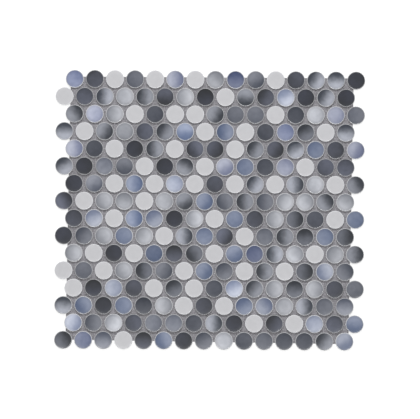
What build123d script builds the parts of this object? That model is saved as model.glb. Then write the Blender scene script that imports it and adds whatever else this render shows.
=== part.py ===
from build123d import *
import math
import os

# Penny round mosaic sheet: glazed porcelain rounds on a glass fibre net, in millimetres.
# The sheet lies face up with its net on the floor. Its origin is on the net's underside, in
# the middle of the rounds; +X runs along a row of rounds and +Y towards the far row.

# One round
ROUND_DIAMETER = 19.0  # across the widest part, just under the face
ROUND_THICKNESS = 6.0  # from the back to the middle of the face
EDGE_RADIUS = 1.1  # of the rolled edge between side and face
CROWN_RADIUS = 180.0  # of the glazed face, which rises a little to its middle
SIDE_DRAFT = 3.0  # degrees that the pressed side leans in towards the back

# The sheet
JOINT = 2.0  # between neighbouring rounds, left open for grout
NET_THICKNESS = 0.6
NET_SIDE_REACH = 1.1  # how far the net is cut past the middles of the longest rows' ends
NET_FAR_REACH = 2.7  # past the middles of the far row
NET_NEAR_REACH = 1.5  # past the middles of the near row, halfway along
NET_SIDE_LEAN = 0.8  # degrees that the hand-cut sides of the net lean to the right
NET_NEAR_SLOPE = 0.55  # degrees that its near edge runs away from the rows to the right

# Laying plan: the glaze of every round, row by row from the far edge, left to right.
GLAZES = {
    "W": "white_rounds",
    "C": "charcoal_rounds",
    "S": "slate_rounds",
    "O": "ombre_rounds",
    "V": "silver_rounds",
    "B": "blue_rounds",
    "P": "pale_blue_rounds",
}
LAYING_PLAN = (
    "BCWSWPWVBSWCOOC",
    "WCOVOCVCWOCPCOC",
    "OPVWSWWOSSWSVPS",
    "OWOVCOBWBWSBOWO",
    "PSWCOWCCWOCOBCP",
    "OCSSWCOWPBSPWCC",
    "CSWBWPWCWOWOVWO",
    "CWVVWVOBSOSVVOV",
    "CPWBPCVWBCVOSWB",
    "CSVBVWOBCWSOOBO",
    "VWCWBCOWBBOVWVO",
    "WSWVOSWBSWOWOPS",
    "WCPCWOWSPOVOVCS",
    "OBCBSVWCWBPVOSS",
    "PSVCSSSOCWCWPCB",
    "OBSWCBCSVSSSSOP",
)

PITCH = ROUND_DIAMETER + JOINT
ROW_STEP = PITCH * math.sqrt(3) / 2
ROWS = len(LAYING_PLAN)
COLUMNS = len(LAYING_PLAN[0])


def round_section():
    """Half the section of a round: back, drafted side, rolled edge and crowned face."""
    draft = math.radians(SIDE_DRAFT)
    edge_x = ROUND_DIAMETER / 2 - EDGE_RADIUS
    edge_to_crown = CROWN_RADIUS - EDGE_RADIUS
    edge_z = ROUND_THICKNESS - CROWN_RADIUS + math.sqrt(edge_to_crown**2 - edge_x**2)
    face_tilt = math.asin(edge_x / edge_to_crown)

    def on_edge(angle):
        return edge_x + EDGE_RADIUS * math.cos(angle), edge_z + EDGE_RADIUS * math.sin(angle)

    side_top = on_edge(-draft)
    edge_middle = on_edge(math.pi / 4)
    face_rim = on_edge(math.pi / 2 - face_tilt)
    back_rim = (side_top[0] - side_top[1] * math.tan(draft), 0)
    face_middle = (0, ROUND_THICKNESS)
    return make_face(
        [
            Line((0, 0), back_rim),
            Line(back_rim, side_top),
            ThreePointArc(side_top, edge_middle, face_rim),
            RadiusArc(face_rim, face_middle, -CROWN_RADIUS),
            Line(face_middle, (0, 0)),
        ]
    )


def round_places(letter):
    """Where the rounds of one glaze stand; every other row is set half a pitch over."""
    for row, glazes in enumerate(LAYING_PLAN):
        y = ((ROWS - 1) / 2 - row) * ROW_STEP
        set_over = PITCH / 4 if row % 2 == 0 else -PITCH / 4
        for column, glaze in enumerate(glazes):
            if glaze == letter:
                yield (column - (COLUMNS - 1) / 2) * PITCH + set_over, y


def glazed_rounds(letter, tile):
    """All the rounds of one glaze, each a solid of its own that stands on the net."""
    return Compound([Pos(x, y, NET_THICKNESS) * tile for x, y in round_places(letter)])


def backing_net():
    """The net as one thin sheet, cut a little askew, that reaches under every round."""
    half_width = (COLUMNS - 1) / 2 * PITCH + NET_SIDE_REACH
    far_y = (ROWS - 1) / 2 * ROW_STEP + NET_FAR_REACH
    near_y = -(ROWS - 1) / 2 * ROW_STEP - NET_NEAR_REACH
    drop = half_width * math.tan(math.radians(NET_NEAR_SLOPE))

    def corner(side, y):
        return side * half_width + y * math.tan(math.radians(NET_SIDE_LEAN)), y

    outline = Polyline(
        corner(-1, far_y),
        corner(1, far_y),
        corner(1, near_y - drop),
        corner(-1, near_y + drop),
        close=True,
    )
    return extrude(make_face(outline), NET_THICKNESS)


def main():
    os.makedirs("parts", exist_ok=True)
    tile = revolve(Plane.XZ * round_section(), Axis.Z)
    for letter, node in GLAZES.items():
        export_step(glazed_rounds(letter, tile), f"parts/{node}.step")
    export_step(backing_net(), "parts/backing_net.step")


main()
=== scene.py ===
"""Penny round mosaic sheet: glazed rounds on a woven net, in a plain white studio."""

import math
import random
from typing import NamedTuple

import bmesh
import bpy
import numpy as np
from mathutils import Matrix, Vector


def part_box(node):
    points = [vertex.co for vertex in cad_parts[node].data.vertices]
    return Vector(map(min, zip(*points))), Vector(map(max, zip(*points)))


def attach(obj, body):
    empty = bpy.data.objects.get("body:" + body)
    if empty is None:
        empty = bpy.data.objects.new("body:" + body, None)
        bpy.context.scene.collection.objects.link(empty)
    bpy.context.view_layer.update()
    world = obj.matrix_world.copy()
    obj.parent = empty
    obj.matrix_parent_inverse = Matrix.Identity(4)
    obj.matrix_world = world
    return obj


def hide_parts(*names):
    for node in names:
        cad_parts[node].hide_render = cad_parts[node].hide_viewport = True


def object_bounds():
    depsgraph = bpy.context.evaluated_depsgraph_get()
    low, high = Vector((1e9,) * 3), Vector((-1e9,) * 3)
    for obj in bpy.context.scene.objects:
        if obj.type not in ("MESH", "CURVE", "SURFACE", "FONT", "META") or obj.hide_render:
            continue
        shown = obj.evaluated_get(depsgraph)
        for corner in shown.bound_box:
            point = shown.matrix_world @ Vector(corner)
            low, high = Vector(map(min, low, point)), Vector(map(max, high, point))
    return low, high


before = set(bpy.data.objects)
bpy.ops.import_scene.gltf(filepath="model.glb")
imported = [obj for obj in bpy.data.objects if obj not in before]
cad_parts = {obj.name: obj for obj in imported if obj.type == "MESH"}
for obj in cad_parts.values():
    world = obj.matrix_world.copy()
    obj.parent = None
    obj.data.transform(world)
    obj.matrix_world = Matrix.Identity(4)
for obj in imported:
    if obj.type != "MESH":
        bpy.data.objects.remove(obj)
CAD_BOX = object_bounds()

bl_info = {
    "name": "Penny Round Mosaic Sheet",
    "version": (1, 0, 0),
    "blender": (4, 5, 0),
    "location": "3D View > Sidebar > Mosaic",
    "description": "Lays glazed penny rounds on a woven net and lights them as for a catalogue",
    "category": "Add Mesh",
}

MM = 0.001
QUARTER_TURN = math.radians(90)
DEGREES_PER_HOUR = 30  # on a clock face
BODY = "root"
NET_NODE = "backing_net"
PLACE_ATTRIBUTE = "glaze_place"
TONE_ATTRIBUTE = "glaze_tone"
HUE_ATTRIBUTE = "glaze_hue"
PEAK_DEPTH = 0.0001 * MM  # only the very middle of a crowned face lies this near its top
PLACE_DIGITS = 4  # decimals of a metre that tell two rounds apart
CORNER_DIGITS = 5  # decimals of a metre to which the points at one corner of the net agree


class Glaze(NamedTuple):
    """How one glaze lies on its rounds."""

    name: str
    seed: int
    fade: float  # half the width of the fade from deep to pale, as a share of the radius
    tone_step: float  # how much a darker or a lighter round differs from the usual one
    roughness: float
    pool: float  # tone just inside the rim, where the glaze pools
    edge: float  # tone of the rolled edge, partly where the glaze breaks thin and partly painted light

    @property
    def node(self):
        return f"{self.name}_rounds"

    @property
    def slot(self):
        return f"{self.name}_glaze"


# Each edge tone is partly thin glaze and partly painted light on the rolled edge; on white it is
# lighter than the glaze itself.
GLAZES = (
    Glaze("white", seed=11, fade=1.6, tone_step=0.0, roughness=0.4, pool=1.03, edge=0.86),
    Glaze("charcoal", seed=23, fade=0.9, tone_step=0.55, roughness=0.34, pool=0.80, edge=0.40),
    Glaze("slate", seed=37, fade=0.95, tone_step=0.50, roughness=0.34, pool=0.85, edge=0.45),
    Glaze("ombre", seed=41, fade=0.75, tone_step=0.50, roughness=0.34, pool=0.85, edge=0.51),
    Glaze("silver", seed=53, fade=0.85, tone_step=0.21, roughness=0.34, pool=0.80, edge=0.60),
    Glaze("blue", seed=67, fade=0.75, tone_step=0.33, roughness=0.34, pool=0.85, edge=0.61),
    Glaze("pale_blue", seed=79, fade=0.75, tone_step=0.26, roughness=0.34, pool=0.85, edge=0.62),
)

# The hour of its darkest side, for every round from the far row on: a dot for an even one, and
# a, b and c for the hours 10, 11 and 12.
HOURS = ".123456789abc"
DARK_SIDES = (
    ".....3.1c5..ac.",
    "..9.969c.6ab.a.",
    "2.9....4.......",
    "c.4..a6.9...b.c",
    "3...9.84.a4b..4",
    "b..6..1.5......",
    ".5.3.....a.3..2",
    "2.8c..54899a221",
    ".b.3b.9...93...",
    ".a8.a.3.4..9c.3",
    "9....c8.5.92.a3",
    "...894.4b.9.382",
    ".c...b..ba9c3..",
    "c8..c3...b2.3.c",
    "49a....3..a...6",
    "2.c.c8.b.....a5",
)

# How each round's tone differs from its glaze's usual one.
TONE_STEPS = {"-": -1, ".": 0, "+": 1}
TONES = (
    "+......--...++-",
    ".++....-...+-+-",
    ".+..-......-+..",
    "+..-+.+...-+-.+",
    ".-.-..+....+..-",
    "+-+..-....-..++",
    "-+.+.+...+.++..",
    "+..-...........",
    "...+--+....--..",
    "-.....+.+...-.-",
    "..-.-.-..-++.-.",
    "....-.......-..",
    ".-...-.-+..-...",
    "+.-.-.....-.+.+",
    "+.++++-+-....+.",
    "-.+...-.+-.--.-",
)

# Rounds whose blue leans to violet, each by its row and column from the far left.
VIOLET_SPOTS = {
    (0, 0), (0, 5), (0, 8), (2, 1), (2, 13), (3, 11), (4, 0),
    (4, 14), (5, 8), (5, 11), (10, 9), (15, 1),
}


# Settings


def length(name, description, millimetres):
    """A length that a user can change."""
    return bpy.props.FloatProperty(
        name=name,
        description=description,
        default=millimetres * MM,
        min=0.0,
        precision=5,
        subtype="DISTANCE",
        unit="LENGTH",
    )


def angle(name, description, degrees):
    """An angle that a user can change."""
    return bpy.props.FloatProperty(
        name=name,
        description=description,
        default=math.radians(degrees),
        subtype="ANGLE",
        unit="ROTATION",
    )


def number(name, description, default):
    """A plain number that a user can change."""
    return bpy.props.FloatProperty(
        name=name, description=description, default=default, min=0.0, precision=3
    )


def colour(name, description, default):
    """A linear colour that a user can change."""
    return bpy.props.FloatVectorProperty(
        name=name,
        description=description,
        default=default,
        size=3,
        min=0.0,
        max=1.0,
        subtype="COLOR",
    )


class MOSAIC_PG_rounds(bpy.types.PropertyGroup):
    """Shape of one round, and how evenly the rounds were laid."""

    edge_radius: length("Rolled Edge", "Radius between the side and the face", 1.1)
    face_rise: length("Crown", "How far the face rises from its rim to its middle", 0.2)
    side_taper: length("Taper", "How much narrower the back is than the face, each side", 0.28)
    foot_height: length("Bare Foot", "Height of the unglazed band above the back", 1.6)
    tilt: angle("Tilt", "Most that a round leans from the level", 0.35)


class MOSAIC_PG_glazes(bpy.types.PropertyGroup):
    """The deep and the pale end of each glaze, and the tint of the rolled edge, partly thin glaze
    and partly painted light.
    """

    white_deep: colour("White, Deep", "White glaze at its deep end", (0.535, 0.535, 0.555))
    white_pale: colour("White, Pale", "White glaze at its pale end", (0.555, 0.555, 0.575))
    charcoal_deep: colour("Charcoal, Deep", "Charcoal at its deep end", (0.006, 0.008, 0.014))
    charcoal_pale: colour("Charcoal, Pale", "Charcoal at its pale end", (0.081, 0.088, 0.120))
    slate_deep: colour("Slate, Deep", "Slate at its deep end", (0.042, 0.050, 0.073))
    slate_pale: colour("Slate, Pale", "Slate at its pale end", (0.198, 0.208, 0.244))
    ombre_deep: colour("Ombre, Deep", "Dark side of a shaded round", (0.018, 0.023, 0.034))
    ombre_pale: colour("Ombre, Pale", "Light side of a shaded round", (0.274, 0.287, 0.329))
    silver_deep: colour("Silver, Deep", "Silver at its deep end", (0.262, 0.272, 0.305))
    silver_pale: colour("Silver, Pale", "Silver at its pale end", (0.515, 0.528, 0.570))
    blue_deep: colour("Blue, Deep", "Blue at its deep end", (0.078, 0.109, 0.195))
    blue_pale: colour("Blue, Pale", "Blue at its pale end", (0.245, 0.279, 0.376))
    pale_blue_deep: colour("Pale Blue, Deep", "Pale blue, deep end", (0.180, 0.210, 0.305))
    pale_blue_pale: colour("Pale Blue, Pale", "Pale blue, pale end", (0.465, 0.495, 0.585))
    # The edge tint is partly thin glaze and partly painted light on the rolled edge and the sides.
    edge: colour("Edge", "Tint of glaze that breaks thin on the rolled edge", (0.96, 0.97, 1.0))
    body: colour("Bare Body", "Unglazed porcelain of the side and back", (0.60, 0.59, 0.57))


class MOSAIC_PG_net(bpy.types.PropertyGroup):
    """The woven net that carries the rounds, stiff with glue, its colours darkened as painted shade
    between the rounds.
    """

    spacing: length("Spacing", "From one thread to the next", 4.0)
    thread_width: length("Thread Width", "Width of the flat threads", 0.8)
    thread_height: length("Thread Height", "Thickness of the flat threads", 0.28)
    lift: length("Weave", "How far a thread rises over the one that it crosses", 0.28)
    film: length("Glue", "Thickness of the glue film between the threads", 0.14)
    # Thread colour: grey fibre, darkened partly as painted shade between the rounds.
    thread_and_shade_colour: colour("Thread", "Glass fibre threads", (0.460, 0.448, 0.476))
    # Glue film colour: dried glue, darkened as painted shade where the net's openings lie in
    # shadow.
    glue_and_shade_colour: colour("Glue Film And Painted Shade", "Dried glue between the threads", (0.328, 0.320, 0.344))


class MOSAIC_PG_stage(bpy.types.PropertyGroup):
    """Camera, lamps and floor of the catalogue picture."""

    lens: length("Lens", "Focal length of the camera", 200.0)
    frame_width: length("Frame Width", "Width of the picture at the rounds' faces", 438.7)
    camera_right: length("Camera Right", "How far the camera stands right of the middle", 0.4)
    camera_far: length("Camera Far", "How far the camera stands beyond the middle", 0.8)
    camera_turn: angle("Camera Turn", "How far the camera is turned on the sheet", 0.38)
    ambient: number("Ambient", "Strength of the even light all round", 0.65)
    key_power: number("Key", "Watts of the softbox beyond the far edge", 7.3)
    edge_power: number("Edge Lamps", "Watts of each lamp that glints on the rolled edges", 10.0)
    floor_glow: number("Floor Glow", "How white the floor looks to the camera", 0.75)


# Node trees

MIX_FACTOR, MIX_FIRST, MIX_SECOND = 0, 6, 7  # inputs of a Mix node that takes colours
MIX_RESULT = 2
NOISE_MIDDLE = 0.5
TRUE_HUE = 0.5  # leaves a colour's hue as it is


def add_node(tree, kind, inputs=None, **settings):
    """A node with its settings, and its inputs linked to sockets or set to values."""
    node = tree.nodes.new(kind)
    for name, value in settings.items():
        setattr(node, name, value)
    for key, value in (inputs or {}).items():
        if isinstance(value, bpy.types.NodeSocket):
            tree.links.new(value, node.inputs[key])
        else:
            node.inputs[key].default_value = value
    return node


def calculate(tree, operation, first, second=0.0):
    """One step of arithmetic on two sockets or numbers."""
    return add_node(tree, "ShaderNodeMath", {0: first, 1: second}, operation=operation).outputs[0]


def ease(tree, value, start, end, low=0.0, high=1.0):
    """A smooth step from low to high as a value goes from start to end."""
    inputs = {"Value": value, "From Min": start, "From Max": end, "To Min": low, "To Max": high}
    return add_node(tree, "ShaderNodeMapRange", inputs, interpolation_type="SMOOTHSTEP").outputs[0]


def blend(tree, factor, first, second):
    """Two colours mixed by a factor."""
    inputs = {MIX_FACTOR: factor, MIX_FIRST: first, MIX_SECOND: second}
    return add_node(tree, "ShaderNodeMix", inputs, data_type="RGBA").outputs[MIX_RESULT]


def retone(tree, colour, tone, hue=TRUE_HUE, richness=1.0):
    """A colour made lighter or darker, with its hue shifted and its richness changed."""
    inputs = {"Hue": hue, "Saturation": richness, "Value": tone, "Color": colour}
    return add_node(tree, "ShaderNodeHueSaturation", inputs).outputs[0]


def read_attribute(tree, name, output="Fac"):
    """What a mesh notes on its points under a name."""
    return add_node(tree, "ShaderNodeAttribute", attribute_name=name).outputs[output]


def grain(tree, scale, detail=2.0):
    """Noise fixed to the piece, with its scale in lumps for each metre."""
    where = add_node(tree, "ShaderNodeTexCoord").outputs["Object"]
    inputs = {"Vector": where, "Scale": scale, "Detail": detail}
    return add_node(tree, "ShaderNodeTexNoise", inputs).outputs[0]


def opaque(rgb):
    """A colour property as the four numbers that a socket takes."""
    return (*rgb, 1.0)


def new_material(name):
    """A new material, its node tree and its main shader."""
    material = bpy.data.materials.new(name)
    material.use_nodes = True
    tree = material.node_tree
    return material, tree, tree.nodes["Principled BSDF"]


# Glazed rounds

# The shape of a round
LEVEL = 0.98  # least upright share of a level face's normal
ROUND_SIDES = 20
EDGE_STEPS = 2
CROWN_INSET = 0.35  # of the radius, from the rim of the face to its level middle
FACE_WEIGHT = 100  # lets the large faces lead the shading, where 50 is neutral
ROW_SHIFT = 0.5  # of a pitch, by which every other row is set over

# How rounds of one glaze differ
EVEN_FADE = 0.35  # how much of its glaze's fade an even round shows
OWN_TONE = 0.09  # most that a round's tone strays from its plan by chance
VIOLET_HUE = 0.512
RICHNESS = 0.8  # how fast a tone gains colour as it gets darker than usual

# Clouds and dimples in the glaze, with their scales in lumps for each metre
CLOUD_SCALE = 170.0
CLOUD_DEPTH = 0.10  # how much the clouds change the tone
FADE_WANDER = 0.5  # how far the clouds bend the fade, as a share of the radius
DIMPLE_SCALE = 650.0
DIMPLE_HEIGHT = 0.010 * MM

# Where the glaze changes towards the rim and the painted rim light begins, in shares of the radius
POOL_START, POOL_END = 0.55, 0.88
EDGE_START, EDGE_END, PAINTED_RIM_START = 0.905, 0.945, 0.968

# The edge, partly thin glaze and partly painted light, and the foot
PAINTED_RIM_LIGHT = 1.45  # painted light on the outermost rim, whose slope looks dim, as a share of the rolled edge's tone
# Most that the painted rim light may reach
MOST_PAINTED_RIM_LIGHT = 0.9
EDGE_ROUGHNESS = 0.18
FOOT_BLUR = 0.35 * MM  # half the height over which the glaze ends
BARE_ROUGHNESS = 0.75


def round_places(node):
    """Middles of the backs of a node's rounds, row by row from the far edge, left to right."""
    low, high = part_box(node)
    places = {}
    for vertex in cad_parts[node].data.vertices:
        x, y, z = vertex.co
        if z > high.z - PEAK_DEPTH:
            places[-round(y, PLACE_DIGITS), round(x, PLACE_DIGITS)] = Vector((x, y, low.z))
    if not places:
        raise RuntimeError(f"No rounds were found in {node}")
    return [places[key] for key in sorted(places)]


def select_faces(piece, test):
    """In edit mode, selects the faces that pass a test and nothing else."""
    bpy.ops.mesh.select_mode(type="FACE")
    bpy.ops.mesh.select_all(action="DESELECT")
    shape = bmesh.from_edit_mesh(piece.data)
    for face in shape.faces:
        face.select_set(test(face))
    bmesh.update_edit_mesh(piece.data)


def join_pieces(pieces):
    """One object of several, at the origin, with the first one's name."""
    bpy.ops.object.select_all(action="DESELECT")
    for piece in pieces:
        piece.select_set(True)
    bpy.context.view_layer.objects.active = pieces[0]
    bpy.ops.object.join()
    return pieces[0]


def is_back(face):
    """Whether a face lies level and looks down."""
    return face.normal.z < -LEVEL


def is_face(face):
    """Whether a face lies level and looks up."""
    return face.normal.z > LEVEL


def model_round(sizes, radius, thickness):
    """One round with the middle of its back at the origin: tapered side, rolled edge and crown."""
    rim_height = thickness - sizes.face_rise
    bpy.ops.object.select_all(action="DESELECT")
    bpy.ops.mesh.primitive_cylinder_add(
        vertices=ROUND_SIDES, radius=radius, depth=rim_height, location=(0, 0, rim_height / 2)
    )
    tile = bpy.context.object
    bpy.ops.object.transform_apply()
    bpy.ops.object.mode_set(mode="EDIT")

    select_faces(tile, is_face)
    bpy.ops.mesh.region_to_loop()
    bpy.ops.mesh.bevel(offset=sizes.edge_radius, segments=EDGE_STEPS, affect="EDGES")
    select_faces(tile, is_face)
    bpy.ops.mesh.inset(thickness=radius * CROWN_INSET, depth=sizes.face_rise)
    select_faces(tile, is_back)
    taper = 1 - sizes.side_taper / radius
    bpy.ops.transform.resize(value=(taper, taper, 1), center_override=(0, 0, 0))
    bpy.ops.mesh.region_to_loop()
    bpy.ops.mesh.mark_sharp()
    bpy.ops.object.mode_set(mode="OBJECT")

    bpy.ops.object.shade_smooth()
    level = tile.modifiers.new("level_face", "WEIGHTED_NORMAL")
    level.keep_sharp = True
    level.weight = FACE_WEIGHT
    bpy.ops.object.modifier_apply(modifier=level.name)
    return tile


def plan_spot(place, radius):
    """The row and column of a round, counted from the far left, on the plans above."""
    low, high = CAD_BOX
    row_step = (high.y - low.y - 2 * radius) / (len(DARK_SIDES) - 1)
    pitch = (high.x - low.x - 2 * radius) / (len(DARK_SIDES[0]) - 1 + ROW_SHIFT)
    row = round((high.y - radius - place.y) / row_step)
    return row, math.floor((place.x - low.x - radius) / pitch + ROW_SHIFT / 2)


def mark_glaze(mesh, radius, dark_side, strength, tone, hue):
    """Notes on each point its place along and across the fade, and the round's own glaze."""
    points = np.empty(len(mesh.vertices) * 3, np.float32)
    mesh.vertices.foreach_get("co", points)
    x, y = points.reshape(-1, 3)[:, :2].T / radius
    along = -(x * math.sin(dark_side) + y * math.cos(dark_side))
    across = y * math.sin(dark_side) - x * math.cos(dark_side)
    places = np.column_stack((along, across, np.full_like(x, strength)))
    attribute = mesh.attributes.new(PLACE_ATTRIBUTE, "FLOAT_VECTOR", "POINT")
    attribute.data.foreach_set("vector", places.astype(np.float32).ravel())
    for name, value in ((TONE_ATTRIBUTE, tone), (HUE_ATTRIBUTE, hue)):
        attribute = mesh.attributes.new(name, "FLOAT", "POINT")
        attribute.data.foreach_set("value", np.full(len(x), value, np.float32))


def lay_copy(tile, place, radius, most_tilt, tone_step, chance):
    """A copy of the round at its place, with a lean, a fade and a tone of its own."""
    copy = bpy.data.objects.new(tile.name, tile.data.copy())
    bpy.context.scene.collection.objects.link(copy)
    row, column = plan_spot(place, radius)
    hour = HOURS.index(DARK_SIDES[row][column])
    if hour:
        dark_side = math.radians(DEGREES_PER_HOUR * hour)
    else:
        dark_side = chance.uniform(0, math.tau)
    strength = 1.0 if hour else EVEN_FADE
    tone = 1 + tone_step * TONE_STEPS[TONES[row][column]]
    tone += chance.uniform(-1, 1) * min(OWN_TONE, tone_step)
    hue = VIOLET_HUE if (row, column) in VIOLET_SPOTS else TRUE_HUE
    mark_glaze(copy.data, radius, dark_side, strength, tone, hue)
    axis = Matrix.Rotation(chance.uniform(0, math.tau), 3, "Z") @ Vector((1, 0, 0))
    lean = Matrix.Rotation(chance.uniform(0, most_tilt), 4, axis)
    copy.data.transform(Matrix.Translation(place) @ lean)
    return copy


def face_colour(tree, glaze, colours, along, strength, reach):
    """The glaze on the face, which fades from deep to pale, clouds and pools inside the rim."""
    cloud = calculate(tree, "SUBTRACT", grain(tree, CLOUD_SCALE), NOISE_MIDDLE)
    along = calculate(tree, "MULTIPLY", along, strength)
    along = calculate(tree, "ADD", along, calculate(tree, "MULTIPLY", cloud, FADE_WANDER))
    fade = ease(tree, along, -glaze.fade, glaze.fade)
    deep = opaque(getattr(colours, f"{glaze.name}_deep"))
    pale = opaque(getattr(colours, f"{glaze.name}_pale"))

    tone = read_attribute(tree, TONE_ATTRIBUTE)
    richness = calculate(tree, "MULTIPLY", tone, RICHNESS)
    richness = calculate(tree, "SUBTRACT", 1 + RICHNESS, richness)
    richness = calculate(tree, "MAXIMUM", richness, 1.0)
    tone = calculate(tree, "ADD", tone, calculate(tree, "MULTIPLY", cloud, CLOUD_DEPTH))
    pool = ease(tree, reach, POOL_START, POOL_END, 1.0, glaze.pool)
    tone = calculate(tree, "MULTIPLY", tone, pool)
    hue = read_attribute(tree, HUE_ATTRIBUTE)
    return retone(tree, blend(tree, fade, deep, pale), tone, hue, richness)


def edge_and_painted_light_colour(tree, glaze, colours, reach):
    """The rolled edge, partly glaze that breaks thin and partly painted light, with painted light
    making the outermost rim palest.
    """
    # Painted light: the outer rim is made paler where its slope would look dim.
    painted_rim_light = min(PAINTED_RIM_LIGHT * glaze.edge, MOST_PAINTED_RIM_LIGHT)
    tone = ease(tree, reach, EDGE_END, PAINTED_RIM_START, glaze.edge, painted_rim_light)
    return retone(tree, opaque(colours.edge), tone)


def glaze_material(glaze, colours, foot_top):
    """A glaze on the face and the rolled edge of each round, which ends above a bare foot."""
    material, tree, shader = new_material(glaze.slot)
    spot = read_attribute(tree, PLACE_ATTRIBUTE, "Vector")
    along, across, strength = add_node(tree, "ShaderNodeSeparateXYZ", {0: spot}).outputs
    along_square = calculate(tree, "MULTIPLY", along, along)
    across_square = calculate(tree, "MULTIPLY", across, across)
    reach = calculate(tree, "SQRT", calculate(tree, "ADD", along_square, across_square))
    where = add_node(tree, "ShaderNodeTexCoord").outputs["Object"]
    height = add_node(tree, "ShaderNodeSeparateXYZ", {0: where}).outputs["Z"]

    face = face_colour(tree, glaze, colours, along, strength, reach)
    # The rolled edge and the sides carry painted light as well as thin glaze.
    edge = edge_and_painted_light_colour(tree, glaze, colours, reach)
    glaze_colour = blend(tree, ease(tree, reach, EDGE_START, EDGE_END), face, edge)
    glazed = ease(tree, height, foot_top - FOOT_BLUR, foot_top + FOOT_BLUR)
    surface = blend(tree, glazed, opaque(colours.body), glaze_colour)
    tree.links.new(surface, shader.inputs["Base Color"])

    shine = ease(tree, reach, EDGE_START, EDGE_END, glaze.roughness, EDGE_ROUGHNESS)
    bare = ease(tree, height, foot_top - FOOT_BLUR, foot_top + FOOT_BLUR, BARE_ROUGHNESS, 0.0)
    roughness = calculate(tree, "MAXIMUM", shine, bare)
    tree.links.new(roughness, shader.inputs["Roughness"])
    inputs = {"Height": grain(tree, DIMPLE_SCALE), "Distance": DIMPLE_HEIGHT}
    dimples = add_node(tree, "ShaderNodeBump", inputs)
    tree.links.new(dimples.outputs[0], shader.inputs["Normal"])
    return material


class MOSAIC_OT_lay_rounds(bpy.types.Operator):
    """Lay all the rounds of one glaze where their solids stand"""

    bl_idname = "mosaic.lay_rounds"
    bl_label = "Lay Rounds"

    glaze: bpy.props.EnumProperty(
        name="Glaze",
        description="Which rounds to lay",
        items=[(g.name, g.name.replace("_", " ").title(), g.node) for g in GLAZES],
    )

    def execute(self, context):
        glaze = next(g for g in GLAZES if g.name == self.glaze)
        sizes = context.scene.mosaic_rounds
        places = round_places(glaze.node)
        low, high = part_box(glaze.node)
        radius = high.x - max(place.x for place in places)
        tile = model_round(sizes, radius, high.z - low.z)
        chance = random.Random(glaze.seed)
        copies = [
            lay_copy(tile, place, radius, sizes.tilt, glaze.tone_step, chance) for place in places
        ]
        bpy.data.objects.remove(tile)
        piece = join_pieces(copies)
        piece.name = f"{glaze.name}_glazed_rounds"
        foot_top = low.z + sizes.foot_height
        piece.data.materials.append(glaze_material(glaze, context.scene.mosaic_glazes, foot_top))
        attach(piece, BODY)
        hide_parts(glaze.node)
        return {"FINISHED"}


# Woven net

NET_CORNERS = 4
THREAD_SIDES = 6
ANY_SIDES = 0  # fills a hole however many sides it has

# The mottle of fibre and glue, with its scales in lumps for each metre
FIBRE_SCALE = 2600.0
GLUE_SCALE = 320.0
MOTTLE_DETAIL = 4.0
MOTTLE_START, MOTTLE_END = 0.3, 0.7  # the noise at its darkest and its lightest tone
MOTTLE_DARK, MOTTLE_LIGHT = 0.86, 1.1
MOTTLE_HEIGHT = 0.05 * MM
NET_ROUGHNESS = 0.8


def model_thread(net, crossings, up_ring):
    """A flat thread along X with a ring of points at each crossing, every other one raised."""
    run = (crossings + 1) * net.spacing
    bpy.ops.object.select_all(action="DESELECT")
    bpy.ops.mesh.primitive_cylinder_add(
        vertices=THREAD_SIDES, radius=net.thread_width / 2, depth=run
    )
    thread = bpy.context.object
    thread.dimensions = (net.thread_height, net.thread_width, run)
    thread.rotation_euler.y = QUARTER_TURN
    bpy.ops.object.transform_apply()
    bpy.ops.object.mode_set(mode="EDIT")

    # Only the edges along the thread are longer than half its run.
    bpy.ops.mesh.select_mode(type="EDGE")
    bpy.ops.mesh.select_all(action="DESELECT")
    shape = bmesh.from_edit_mesh(thread.data)
    for edge in shape.edges:
        edge.select_set(edge.calc_length() > run / 2)
    bmesh.update_edit_mesh(thread.data)
    bpy.ops.mesh.subdivide(number_cuts=crossings)

    bpy.ops.mesh.select_mode(type="VERT")
    for ring, rise in ((up_ring, net.lift / 2), (1 - up_ring, -net.lift / 2)):
        bpy.ops.mesh.select_all(action="DESELECT")
        shape = bmesh.from_edit_mesh(thread.data)
        for vertex in shape.verts:
            vertex.select_set(round(vertex.co.x / net.spacing + (crossings + 1) / 2) % 2 == ring)
        bmesh.update_edit_mesh(thread.data)
        bpy.ops.transform.translate(value=(0, 0, rise))
    bpy.ops.object.mode_set(mode="OBJECT")
    bpy.ops.object.shade_smooth()
    return thread


def lay_threads(net, count, crossings, up_ring, turn):
    """An odd count of threads side by side, each over where its neighbours dive under."""
    threads = []
    for skip in (0, 1):
        thread = model_thread(net, crossings, (up_ring + skip) % 2)
        thread.location.y = (skip - (count - 1) / 2) * net.spacing
        bpy.ops.object.transform_apply()
        row = thread.modifiers.new("side_by_side", "ARRAY")
        row.use_relative_offset = False
        row.use_constant_offset = True
        row.constant_offset_displace = (0, 2 * net.spacing, 0)
        row.count = (count + 1) // 2 - skip
        bpy.ops.object.modifier_apply(modifier=row.name)
        thread.rotation_euler.z = turn
        bpy.ops.object.transform_apply()
        threads.append(thread)
    return threads


def lay_film(net, width, depth):
    """The film of dried glue that fills the weave, a sheet whose darker colour is painted shade
    over the net's openings.
    """
    bpy.ops.object.select_all(action="DESELECT")
    bpy.ops.mesh.primitive_plane_add(size=1)
    film = bpy.context.object
    film.dimensions = (width, depth, 0)
    bpy.ops.object.transform_apply()
    wall = film.modifiers.new("dried_glue", "SOLIDIFY")
    wall.thickness = net.film
    wall.offset = 0
    bpy.ops.object.modifier_apply(modifier=wall.name)
    return film


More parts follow.
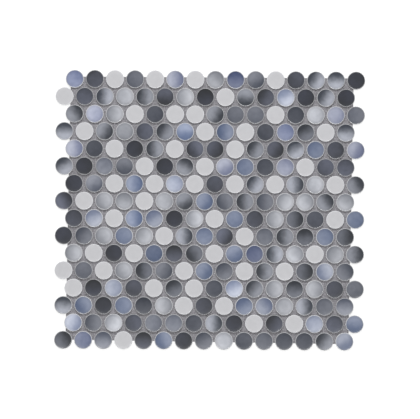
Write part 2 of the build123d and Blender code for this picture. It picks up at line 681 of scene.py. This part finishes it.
def cut_to_outline(piece, corners):
    """Cuts a layer along straight lines from corner to corner, which go round anticlockwise."""
    bpy.ops.object.select_all(action="DESELECT")
    piece.select_set(True)
    bpy.context.view_layer.objects.active = piece
    bpy.ops.object.mode_set(mode="EDIT")
    for start, end in zip(corners, corners[1:] + corners[:1]):
        side = end - start
        bpy.ops.mesh.select_all(action="SELECT")
        bpy.ops.mesh.bisect(plane_co=start, plane_no=(side.y, -side.x, 0), clear_outer=True)
        bpy.ops.mesh.select_all(action="SELECT")
        bpy.ops.mesh.fill_holes(sides=ANY_SIDES)
    bpy.ops.mesh.select_all(action="SELECT")
    bpy.ops.mesh.delete_loose()
    bpy.ops.object.mode_set(mode="OBJECT")


def net_corners():
    """Corners of the net's solid, anticlockwise, at half its thickness."""
    low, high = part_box(NET_NODE)
    middle = (low + high) / 2
    spots = {
        (round(v.co.x, CORNER_DIGITS), round(v.co.y, CORNER_DIGITS))
        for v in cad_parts[NET_NODE].data.vertices
    }
    if len(spots) != NET_CORNERS:
        raise RuntimeError(f"The net has {len(spots)} corners instead of {NET_CORNERS}")
    corners = [Vector((x, y, middle.z)) for x, y in spots]
    return sorted(corners, key=lambda p: math.atan2(p.y - middle.y, p.x - middle.x))


def flat_area(corners):
    """Area inside corners that lie on one level."""
    pairs = zip(corners, corners[1:] + corners[:1])
    return sum(start.x * end.y - end.x * start.y for start, end in pairs) / 2


def net_material(name, rgb, scale):
    """Glass fibre or glue, mottled and a little rough, in a colour that carries painted shade."""
    material, tree, shader = new_material(name)
    mottle = grain(tree, scale, MOTTLE_DETAIL)
    tone = ease(tree, mottle, MOTTLE_START, MOTTLE_END, MOTTLE_DARK, MOTTLE_LIGHT)
    tree.links.new(retone(tree, opaque(rgb), tone), shader.inputs["Base Color"])
    bump = add_node(tree, "ShaderNodeBump", {"Height": mottle, "Distance": MOTTLE_HEIGHT})
    tree.links.new(bump.outputs[0], shader.inputs["Normal"])
    shader.inputs["Roughness"].default_value = NET_ROUGHNESS
    return material


class MOSAIC_OT_lay_net(bpy.types.Operator):
    """Weave the net that carries the rounds and fill it with glue"""

    bl_idname = "mosaic.lay_net"
    bl_label = "Lay Net"

    def execute(self, context):
        net = context.scene.mosaic_net
        corners = net_corners()
        low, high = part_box(NET_NODE)
        columns = 2 * math.ceil(max(high.x, -low.x) / net.spacing) + 1
        rows = 2 * math.ceil(max(high.y, -low.y) / net.spacing) + 1
        film = lay_film(net, columns * net.spacing, rows * net.spacing)
        # The glue film's colour is painted shade over the net's openings.
        film.data.materials.append(net_material("glue_film_and_painted_shade", net.glue_and_shade_colour, GLUE_SCALE))
        weft = lay_threads(net, rows, columns, up_ring=0, turn=0.0)
        warp = lay_threads(net, columns, rows, up_ring=1, turn=-QUARTER_TURN)
        # The threads' colour is darkened partly as painted shade.
        fibre = net_material("glass_fibre", net.thread_and_shade_colour, FIBRE_SCALE)
        for thread in weft + warp:
            thread.data.materials.append(fibre)
        layers = [film, *weft, *warp]
        for layer in layers:
            cut_to_outline(layer, corners)
        piece = join_pieces(layers)
        piece.name = "woven_net"
        piece.location.z = corners[0].z
        bpy.ops.object.transform_apply()
        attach(piece, BODY)
        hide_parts(NET_NODE)
        flat_area(corners)
        return {"FINISHED"}


# Stage

SENSOR_WIDTH = 36.0  # millimetres
FLOOR_SIZE = 8.0
FLOOR_DROP = 0.02 * MM  # keeps the floor clear of the net
FLOOR_COLOUR = (0.4, 0.4, 0.4, 1.0)
WHITE = (1.0, 1.0, 1.0, 1.0)
BACKDROP_STRENGTH = 1.0  # at which the backdrop looks white


class Softbox(NamedTuple):
    """Where a square softbox stands, by an hour of the clock as the camera sees it."""

    name: str
    hour: int
    elevation: float  # degrees above the floor
    distance: float
    size: float


KEY_LAMP = Softbox("far_softbox", hour=12, elevation=70, distance=1.4, size=0.3)
EDGE_LAMPS = (
    Softbox("near_left_lamp", hour=7, elevation=45, distance=1.2, size=0.4),
    Softbox("near_right_lamp", hour=5, elevation=45, distance=1.2, size=0.4),
)


def seen_plainly(tree):
    """1 for what the camera sees, straight, mirrored or through glass, and else 0."""
    path = add_node(tree, "ShaderNodeLightPath").outputs
    seen = calculate(tree, "MAXIMUM", path["Is Camera Ray"], path["Is Glossy Ray"])
    return calculate(tree, "MAXIMUM", seen, path["Is Transmission Ray"])


def make_floor(stage):
    """A pale floor that looks white and keeps a soft shadow of the sheet."""
    bpy.ops.mesh.primitive_plane_add(size=FLOOR_SIZE, location=(0, 0, -FLOOR_DROP))
    floor = bpy.context.object
    floor.name = "floor"
    material, tree, shader = new_material("pale_floor")
    tree.nodes.remove(shader)
    matt = add_node(tree, "ShaderNodeBsdfDiffuse", {"Color": FLOOR_COLOUR})
    strength = calculate(tree, "MULTIPLY", seen_plainly(tree), stage.floor_glow)
    glow = add_node(tree, "ShaderNodeEmission", {"Color": WHITE, "Strength": strength})
    both = add_node(tree, "ShaderNodeAddShader", {0: matt.outputs[0], 1: glow.outputs[0]})
    tree.links.new(both.outputs[0], tree.nodes["Material Output"].inputs["Surface"])
    floor.data.materials.append(material)


def make_world(stage):
    """Even light all round, and a white backdrop behind it."""
    world = bpy.data.worlds.new("studio")
    world.use_nodes = True
    tree = world.node_tree
    strength = ease(tree, seen_plainly(tree), 0.0, 1.0, stage.ambient, BACKDROP_STRENGTH)
    background = tree.nodes["Background"]
    background.inputs["Color"].default_value = WHITE
    tree.links.new(strength, background.inputs["Strength"])
    bpy.context.scene.world = world


def add_softbox(box, watts):
    """A softbox at its place, turned to face the sheet."""
    turn = math.radians(DEGREES_PER_HOUR * box.hour)
    rise = math.radians(box.elevation)
    away = Vector((
        math.sin(turn) * math.cos(rise), math.cos(turn) * math.cos(rise), math.sin(rise)
    ))
    bpy.ops.object.light_add(
        type="AREA", location=away * box.distance, rotation=away.to_track_quat("Z", "Y").to_euler()
    )
    lamp = bpy.context.object
    lamp.name = box.name
    lamp.data.size = box.size
    lamp.data.energy = watts
    lamp.visible_camera = False
    return lamp


def make_camera(stage):
    """A long lens straight above the sheet."""
    distance = stage.frame_width * stage.lens / (SENSOR_WIDTH * MM)
    bpy.ops.object.camera_add(
        location=(stage.camera_right, stage.camera_far, CAD_BOX[1].z + distance),
        rotation=(0, 0, stage.camera_turn),
    )
    camera = bpy.context.object
    camera.data.sensor_width = SENSOR_WIDTH
    camera.data.lens = stage.lens / MM
    camera.data.clip_end = 2 * distance
    bpy.context.scene.camera = camera


class MOSAIC_OT_set_stage(bpy.types.Operator):
    """Set up the floor, the lamps and the camera"""

    bl_idname = "mosaic.set_stage"
    bl_label = "Set Stage"

    def execute(self, context):
        stage = context.scene.mosaic_stage
        make_floor(stage)
        make_world(stage)
        key = add_softbox(KEY_LAMP, stage.key_power)
        key.visible_glossy = False
        for box in EDGE_LAMPS:
            lamp = add_softbox(box, stage.edge_power)
            lamp.visible_diffuse = False
        make_camera(stage)
        context.scene.view_settings.view_transform = "Standard"
        return {"FINISHED"}


# Panel and registration


class MOSAIC_PT_panel(bpy.types.Panel):
    """Lists the steps that make the sheet and the settings they follow."""

    bl_idname = "MOSAIC_PT_panel"
    bl_label = "Penny Round Mosaic"
    bl_space_type = "VIEW_3D"
    bl_region_type = "UI"
    bl_category = "Mosaic"

    def draw(self, context):
        scene = context.scene
        for glaze in GLAZES:
            label = f"Lay {glaze.name.replace('_', ' ').title()} Rounds"
            button = self.layout.operator(MOSAIC_OT_lay_rounds.bl_idname, text=label)
            button.glaze = glaze.name
        self.layout.operator(MOSAIC_OT_lay_net.bl_idname)
        self.layout.operator(MOSAIC_OT_set_stage.bl_idname)
        for settings in (
            scene.mosaic_rounds, scene.mosaic_glazes, scene.mosaic_net, scene.mosaic_stage
        ):
            box = self.layout.box()
            for name in settings.__annotations__:
                box.prop(settings, name)


SETTINGS = {
    "mosaic_rounds": MOSAIC_PG_rounds,
    "mosaic_glazes": MOSAIC_PG_glazes,
    "mosaic_net": MOSAIC_PG_net,
    "mosaic_stage": MOSAIC_PG_stage,
}
CLASSES = (
    *SETTINGS.values(),
    MOSAIC_OT_lay_rounds,
    MOSAIC_OT_lay_net,
    MOSAIC_OT_set_stage,
    MOSAIC_PT_panel,
)


def register():
    """Makes the steps and their settings known to Blender."""
    for cls in CLASSES:
        bpy.utils.register_class(cls)
    for name, group in SETTINGS.items():
        setattr(bpy.types.Scene, name, bpy.props.PointerProperty(type=group))


def unregister():
    """Takes the steps and their settings away again."""
    for name in SETTINGS:
        delattr(bpy.types.Scene, name)
    for cls in reversed(CLASSES):
        bpy.utils.unregister_class(cls)


def main():
    """Makes the sheet and its stage."""
    register()
    for glaze in GLAZES:
        bpy.ops.mosaic.lay_rounds(glaze=glaze.name)
    bpy.ops.mosaic.lay_net()
    bpy.ops.mosaic.set_stage()


if __name__ == "__main__":
    main()
